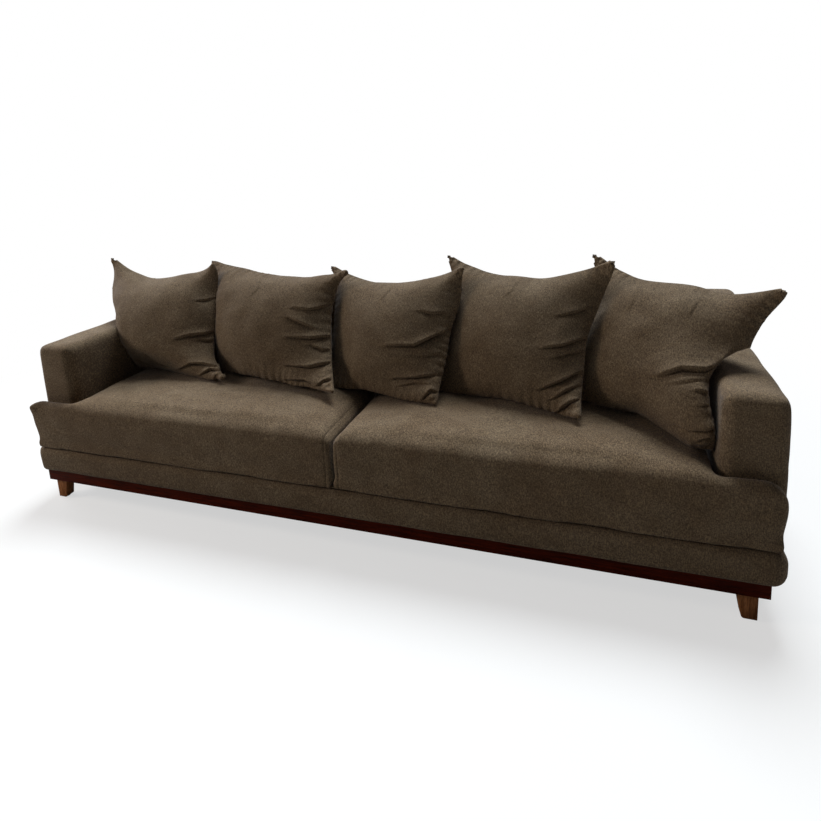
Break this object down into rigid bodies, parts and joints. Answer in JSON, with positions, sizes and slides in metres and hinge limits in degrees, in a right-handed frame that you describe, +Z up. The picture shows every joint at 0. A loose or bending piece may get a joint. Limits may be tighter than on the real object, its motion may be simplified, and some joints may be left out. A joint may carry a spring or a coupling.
{
  "type": "sofa",
  "caption": "Wide low-backed sofa with pull-out box seat cushions, square padded arms, a wood plinth on tapered legs, and loose pillows along the back.",
  "frame": {"origin": "on the floor, under the foot of the centre leg, which stands in the middle of the base's plan", "axes": "+X to the right as seen from the front, along the sofa's length; the front faces -Y; +Z up"},
  "size_m": [2.8453, 0.888, 0.9429],
  "materials": {
    "cloth": "coarse heathered weave, dull",
    "mahogany": "stained dark red-brown, satin",
    "leg_wood": "stained medium brown, satin",
    "pine": "planed, bare",
    "ply": "sawn, bare",
    "felt": "pressed felt",
    "foam": "open-cell foam, matt",
    "webbing": "elastic woven strap",
    "steel": "zinc plated",
    "black_cloth": "thin nonwoven cloth",
    "wadding": "polyester wadding"
  },
  "bodies": {
    "frame": {"plinth_front": "mahogany", "plinth_rear": "mahogany", "plinth_left": "mahogany", "plinth_right": "mahogany", "plinth_cross": "pine", "leg_front_left": "leg_wood", "leg_front_right": "leg_wood", "leg_rear_left": "leg_wood", "leg_rear_right": "leg_wood", "leg_centre": "leg_wood", "leg_blocks": "pine", "leg_bolts": "steel", "leg_glides": "felt", "seat_rail_front": "pine", "seat_rail_rear": "pine", "seat_rail_left": "pine", "seat_rail_right": "pine", "seat_rail_webbing": "pine", "seat_cross_rails": "pine", "corner_blocks": "pine", "seat_webbing_lengthwise": "webbing", "seat_webbing_crosswise": "webbing", "dust_cover": "black_cloth", "deck_pad": "felt", "deck_cover": "cloth", "base_padding": "foam", "base_cover": "cloth", "arm_left_end_panels": "ply", "arm_left_rails": "pine", "arm_left_side_boards": "ply", "arm_left_padding": "foam", "arm_left_cover": "cloth", "arm_right_end_panels": "ply", "arm_right_rails": "pine", "arm_right_side_boards": "ply", "arm_right_padding": "foam", "arm_right_cover": "cloth", "back_ribs": "ply", "back_boards": "ply", "back_webbing": "webbing", "back_padding": "foam", "back_cover": "cloth", "back_rear_cover": "cloth", "frame_bolts": "steel"},
    "seat_cushion_left": {"seat_cushion_left_cover": "cloth", "seat_cushion_left_core": "foam", "seat_cushion_left_zip": "black_cloth"},
    "seat_cushion_right": {"seat_cushion_right_cover": "cloth", "seat_cushion_right_core": "foam", "seat_cushion_right_zip": "black_cloth"},
    "pillow_1": {"pillow_1_cover": "cloth", "pillow_1_filling": "wadding"},
    "pillow_2": {"pillow_2_cover": "cloth", "pillow_2_filling": "wadding"},
    "pillow_3": {"pillow_3_cover": "cloth", "pillow_3_filling": "wadding"},
    "pillow_4": {"pillow_4_cover": "cloth", "pillow_4_filling": "wadding"},
    "pillow_5": {"pillow_5_cover": "cloth", "pillow_5_filling": "wadding"}
  },
  "joints": [
    {"name": "seat_cushion_left_pull", "type": "slide", "parent": "frame", "child": "seat_cushion_left", "axis": [0, -1, 0], "range_m": [0, 0.6]},
    {"name": "seat_cushion_right_pull", "type": "slide", "parent": "frame", "child": "seat_cushion_right", "axis": [0, -1, 0], "range_m": [0, 0.6]},
    {"name": "pillow_1_lift", "type": "slide", "parent": "frame", "child": "pillow_1", "axis": [0, 0.515, 0.8572], "range_m": [0, 0.6]},
    {"name": "pillow_2_lift", "type": "slide", "parent": "frame", "child": "pillow_2", "axis": [0, 0.515, 0.8572], "range_m": [0, 0.6]},
    {"name": "pillow_3_lift", "type": "slide", "parent": "frame", "child": "pillow_3", "axis": [0, 0.515, 0.8572], "range_m": [0, 0.6]},
    {"name": "pillow_4_lift", "type": "slide", "parent": "frame", "child": "pillow_4", "axis": [0, 0.515, 0.8572], "range_m": [0, 0.6]},
    {"name": "pillow_5_lift", "type": "slide", "parent": "frame", "child": "pillow_5", "axis": [0, 0.515, 0.8572], "range_m": [0, 0.6]}
  ]
}
